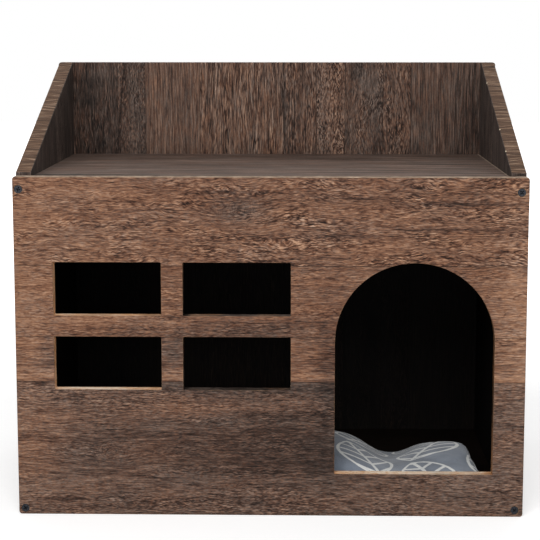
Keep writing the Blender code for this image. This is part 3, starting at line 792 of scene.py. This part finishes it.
def fill_cover(cover):
    """Blows the cover up with light cloth simulation."""
    cloth = cover.modifiers.new("filling", "CLOTH")
    for setting, value in FILLING.items():
        setattr(cloth.settings, setting, value)
    cloth.settings.effector_weights.gravity = 0
    cloth.collision_settings.use_collision = False
    for moment in range(1, FILL_FRAMES + 1):
        bpy.context.scene.frame_set(moment)
    filled = plain_mesh(cover, "printed_cushion")
    bpy.context.scene.frame_set(1)
    return filled


def eased(value, low, high):
    """From 0 at the low end to 1 at the high end, with a soft start and a soft end."""
    share = min(max((value - low) / (high - low), 0.0), 1.0)
    return share * share * (3 - 2 * share)


def pressed(place):
    """Where a point of the plump cushion goes once it has been trodden and lain on."""
    x, y, z = place
    front, rear = CUSHION_DEPTH_SPAN
    at_front, at_rear = TREAD_SHARES
    hollow = math.exp(-((x - TREAD_X - TREAD_LEAN * y) / TREAD_HALF_WIDTH) ** 2)
    right_end = eased(x, *END_SPAN)
    left = 1 - (at_front + (at_rear - at_front) * eased(y, front, rear)) * hollow
    left *= 1 - LAIN_SHARE * eased(y, *LAIN_SPAN)
    left *= 1 - sum(share * eased(x, start, end) for share, start, end in RIGHT_FALLS)
    left *= 1 - END_SHARE * right_end * eased(y, *END_DEPTH_SPAN)
    middle = 1 - min(1.0, abs(2 * y - front - rear) / (rear - front)) ** 2
    to_rear = eased(y, 0.0, rear)
    return (
        x + END_BULGE * eased(x, *BULGE_SPAN) * middle - END_TUCK * right_end * to_rear,
        y - TREAD_PULL * hollow * to_rear - CORNER_PULL * right_end * eased(y, CORNER_START_Y, rear),
        FLOOR_TOP_Z + (z - FLOOR_TOP_Z) * left)


cushion = sew_cover()
cushion = fill_cover(cushion)
for vertex in cushion.data.vertices:
    vertex.co = pressed(vertex.co)
    vertex.co.z = max(vertex.co.z, FLOOR_TOP_Z + 0.0003)
cushion.data.shade_smooth()
rounding = cushion.modifiers.new("rounding", "SUBSURF")
rounding.levels = rounding.render_levels = 1
cushion = plain_mesh(cushion, "printed_cushion")

# Printed plain-weave cotton: matt, blue-grey and a little faded in patches, with a faint sheen of
# loose fibre, and off-white leaves of a plain traditional kind whose ink is uneven at its edges.
LEAF_COLUMN = 64.0            # millimetres from leaf to leaf across the cloth
LEAF_ROW = 92.0               # and along it, every other column half a row lower
LEAF_HALF_WIDTH = 27.0
LEAF_HALF_LENGTH = 44.0
LEAF_TILT = math.radians(22)
PRINT_LINE = 3.6
PRINT_BLEED = 0.25
VEIN_SPACING = 19.0
VEIN_SLOPE = 0.75
THREAD_SPACING = 1.3          # drawn twice as coarse as real cotton, to show at all
SEAM_SHADOW = 1.6             # millimetres from the seam, where the cloth folds in and darkens
GROUND_STOPS = ((0.30, "#59616c"), (0.50, "#727a86"), (0.70, "#868e9a"))
LEAF_STOPS = ((0.30, "#c9cac9"), (0.70, "#ecebe7"))

cotton, tree, shader = start_finish("printed cotton", 0.92, 0.15)
add = partial(node, tree)
cloth = add("UVMap", uv_map="cloth")
u, v, _ = add("SeparateXYZ", (cloth,)).node.outputs

# The cloth is laid out in cells with a leaf in each. The leaves lean left and right by turns.
column = add("Math", (u, LEAF_COLUMN), operation="DIVIDE")
column = add("Math", (column,), operation="FLOOR")
drop = add("Math", (column, 1.0), operation="PINGPONG")
cell = add("CombineXYZ", (u, add("Math", (drop, LEAF_ROW / 2, v), operation="MULTIPLY_ADD")))
cell = add("VectorMath", (cell, (LEAF_COLUMN, LEAF_ROW, 1.0)), operation="DIVIDE")
lean = add("VectorMath", (cell,), operation="FLOOR")
lean = add("VectorMath", (lean, (1.0, 1.0, 0.0)), operation="DOT_PRODUCT")
lean = add("Math", (lean, 1.0), operation="PINGPONG")
lean = add("MapRange", (lean, 0.0, 1.0, -LEAF_TILT, LEAF_TILT))
leaf = add("VectorMath", (cell,), operation="FRACTION")
leaf = add("VectorMath", (leaf, (0.5, 0.5, 0.0)), operation="SUBTRACT")
leaf = add("VectorMath", (leaf, (LEAF_COLUMN, LEAF_ROW, 0.0)), operation="MULTIPLY")
leaf = add("VectorRotate", {"Vector": leaf, "Angle": lean}, rotation_type="Z_AXIS")

# A leaf has an outline and, within it, a midrib and slanted veins, all in a line of one width.
across, along, _ = add("SeparateXYZ", (leaf,)).node.outputs
across = add("Math", (across,), operation="ABSOLUTE")
taper = add("Math", (along, LEAF_HALF_LENGTH), operation="DIVIDE")
taper = add("Math", (taper, taper), operation="MULTIPLY")
width = add("Math", (taper, -LEAF_HALF_WIDTH, LEAF_HALF_WIDTH), operation="MULTIPLY_ADD")
outside = add("Math", (across, width), operation="SUBTRACT")
edge = add("Math", (outside,), operation="ABSOLUTE")
vein = add("Math", (across, -VEIN_SLOPE, along), operation="MULTIPLY_ADD")
vein = add("Math", (vein, VEIN_SPACING / 2), operation="PINGPONG")
vein = add("Math", (vein, 0.85), operation="MULTIPLY")
vein = add("Math", (vein, across), operation="MINIMUM")
past = add("Math", (outside, 0.0), operation="GREATER_THAN")
vein = add("Math", (past, 99.0, vein), operation="MULTIPLY_ADD")
nearest = add("Math", (edge, vein), operation="MINIMUM")
ink = add("TexNoise", {"Vector": cloth, "Scale": 0.35, "Detail": 3.0})
ink = add("MapRange", (ink, 0.3, 0.7, -PRINT_BLEED, PRINT_BLEED))
nearest = add("Math", (nearest, ink), operation="ADD")
printed = add("MapRange", (
    nearest, PRINT_LINE / 2 - PRINT_BLEED, PRINT_LINE / 2 + PRINT_BLEED, 1.0, 0.0))

# The weave lifts and darkens the cloth thread by thread.
weave = add("VectorMath", {"Vector": cloth, "Scale": math.tau / THREAD_SPACING}, operation="SCALE")
weave = add("VectorMath", (weave,), operation="SINE")
warp, weft, _ = add("SeparateXYZ", (weave,)).node.outputs
weave = add("Math", (warp, weft), operation="MULTIPLY")
tint = add("TexNoise", {"Vector": cloth, "Scale": 0.03, "Detail": 4.0})
tint = add("Math", (weave, 0.12, tint), operation="MULTIPLY_ADD")
colour = add("Mix", (
    printed, add("ValToRGB", (tint,), stops=GROUND_STOPS),
    add("ValToRGB", (tint,), stops=LEAF_STOPS)), data_type="RGBA")
shadow = add("Attribute", attribute_name="from_seam").node.outputs["Fac"]
shadow = add("MapRange", (shadow, 0.0, SEAM_SHADOW, 0.45, 1.0))
colour = add("VectorMath", (colour, shadow), operation="MULTIPLY")
tree.links.new(colour, shader.inputs["Base Color"])
height = add("TexNoise", {"Vector": cloth, "Scale": 0.09, "Detail": 4.0, "Distortion": 0.6})
height = add("Math", (height, 2.0), operation="MULTIPLY")
height = add("Math", (weave, 0.08, height), operation="MULTIPLY_ADD")
bump = add("Bump", {"Strength": 0.5, "Distance": 0.0012, "Height": height})
tree.links.new(bump, shader.inputs["Normal"])
shader.inputs["Sheen Weight"].default_value = 0.25
shader.inputs["Sheen Roughness"].default_value = 0.6
cushion.data.materials.append(cotton)
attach(cushion, "root")
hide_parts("cushion")

# The studio. The camera stands in front, a little to the right, at the photograph's viewing angle.
# One large softbox lights the front, a weaker one the rear, and all stands on seamless white paper.
FRAME_WIDTH = 540             # pixels
FOCAL_LENGTH = 1643           # pixels, from the edges of the box
SENSOR_WIDTH = 36.0
camera_data = bpy.data.cameras.new("camera")
camera_data.sensor_width = SENSOR_WIDTH
camera_data.lens = FOCAL_LENGTH * SENSOR_WIDTH / FRAME_WIDTH
camera = bpy.data.objects.new("camera", camera_data)
camera.location = (0.0360, -1.7441, 0.4751)
camera.rotation_euler = (math.pi / 2 - 0.1437, 0.0, 0.0228)
bpy.context.scene.collection.objects.link(camera)
bpy.context.scene.camera = camera

SOFTBOXES = (
    # Name, width, height, place and watts.
    ("softbox", 2.4, 1.4, (-0.3, -2.6, 1.9), 80),
    ("rear_softbox", 2.4, 0.8, (0.6, 2.8, 0.8), 35),
)
LIGHT_AIM = (0.0, 0.0, 0.2)
for name, width, height, place, watts in SOFTBOXES:
    softbox_data = bpy.data.lights.new(name, "AREA")
    softbox_data.shape = "RECTANGLE"
    softbox_data.size = width
    softbox_data.size_y = height
    softbox_data.energy = watts
    softbox = bpy.data.objects.new(name, softbox_data)
    softbox.location = place
    aim = Vector(LIGHT_AIM) - softbox.location
    softbox.rotation_euler = aim.to_track_quat("-Z", "Y").to_euler()
    bpy.context.scene.collection.objects.link(softbox)

# White studio paper: matt, near white, and lost in its own brightness away from the house, where it
# meets the white backdrop without an edge. Near the house it keeps the soft shadow.
PAPER_REACH = 7
PAPER_FADE = (0.5, 1.6)       # metres from the house
PAPER_GLOW = (0.40, 1.0)
paper_mesh = bpy.data.meshes.new("studio_paper")
paper_mesh.from_pydata(
    [(x * PAPER_REACH, y * PAPER_REACH, 0) for x, y in ((-1, -1), (1, -1), (1, 1), (-1, 1))],
    [], [(0, 1, 2, 3)])
paper = bpy.data.objects.new("studio_paper", paper_mesh)
bpy.context.scene.collection.objects.link(paper)
finish, tree, shader = start_finish("white studio paper", 0.9, 0.1)
add = partial(node, tree)
shader.inputs["Base Color"].default_value = linear("#e6e6e6")
shader.inputs["Emission Color"].default_value = (1.0, 1.0, 1.0, 1.0)
point = add("TexCoord").node.outputs["Object"]
far = add("VectorMath", (point,), operation="LENGTH")
far = add("MapRange", (far, *PAPER_FADE, *PAPER_GLOW))
seen = add("LightPath").node.outputs["Is Camera Ray"]
glow = add("Math", (seen, far), operation="MULTIPLY")
tree.links.new(glow, shader.inputs["Emission Strength"])
paper_mesh.materials.append(finish)

# The backdrop: white where it is seen, mirrored or looked through, and a soft fill light elsewhere.
FILL_LIGHT = 0.38
world = bpy.data.worlds.new("white studio")
bpy.context.scene.world = world
world.use_nodes = True
tree = world.node_tree
add = partial(node, tree)
path = add("LightPath").node.outputs
plain = add("Math", (path["Is Camera Ray"], path["Is Glossy Ray"]), operation="MAXIMUM")
plain = add("Math", (plain, path["Is Transmission Ray"]), operation="MAXIMUM")
background = tree.nodes["Background"]
background.inputs["Color"].default_value = (1.0, 1.0, 1.0, 1.0)
strength = add("MapRange", (plain, 0.0, 1.0, FILL_LIGHT, 1.0))
tree.links.new(strength, background.inputs["Strength"])
bpy.context.scene.view_settings.view_transform = "Standard"
